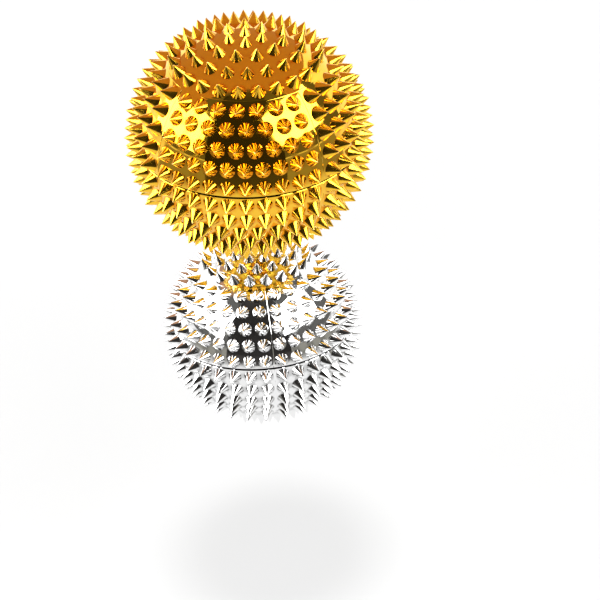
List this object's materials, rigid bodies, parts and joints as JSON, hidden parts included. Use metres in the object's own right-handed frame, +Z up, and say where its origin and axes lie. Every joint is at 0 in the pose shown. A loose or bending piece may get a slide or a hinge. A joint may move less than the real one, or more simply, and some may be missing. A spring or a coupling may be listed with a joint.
{
  "type": "magnetic spiked massage ball pair",
  "caption": "Two plated balls covered in short cones, a larger one above and a smaller one hanging from it by magnets behind their poles.",
  "frame": {"origin": "top of the upper ball's spikes, on the line through both ball centres, where fingers hold the pair", "axes": "+Z up along the line through both ball centres, from the lower ball to the upper one; the balls' equators lean a few degrees off level"},
  "size_m": [0.0558, 0.0558, 0.1019],
  "materials": {
    "gold_plating": "gold-coloured bright metal plating on moulded plastic, mirror",
    "silver_plating": "chrome-coloured bright metal plating on moulded plastic, mirror",
    "magnet_nickel": "nickel-plated sintered magnet, satin",
    "retainer_plastic": "black moulded plastic, matt"
  },
  "bodies": {
    "gold_ball": {"gold_upper_shell": "gold_plating", "gold_lower_shell": "gold_plating", "gold_upper_magnet": "magnet_nickel", "gold_lower_magnet": "magnet_nickel", "gold_upper_retainer": "retainer_plastic", "gold_lower_retainer": "retainer_plastic"},
    "silver_magnets": {"silver_upper_magnet": "magnet_nickel", "silver_lower_magnet": "magnet_nickel", "silver_upper_retainer": "retainer_plastic", "silver_lower_retainer": "retainer_plastic"},
    "silver_ball": {"silver_upper_shell": "silver_plating", "silver_lower_shell": "silver_plating"}
  },
  "joints": [
    {"name": "pull_apart", "type": "slide", "parent": "gold_ball", "child": "silver_magnets", "axis": [0, 0, -1], "range_m": [0, 0.03]},
    {"name": "twist", "type": "hinge", "parent": "silver_magnets", "child": "silver_ball", "pos_m": [0, 0, -0.0788], "axis": [-0.0156, 0.0976, 0.9951], "continuous": true}
  ]
}
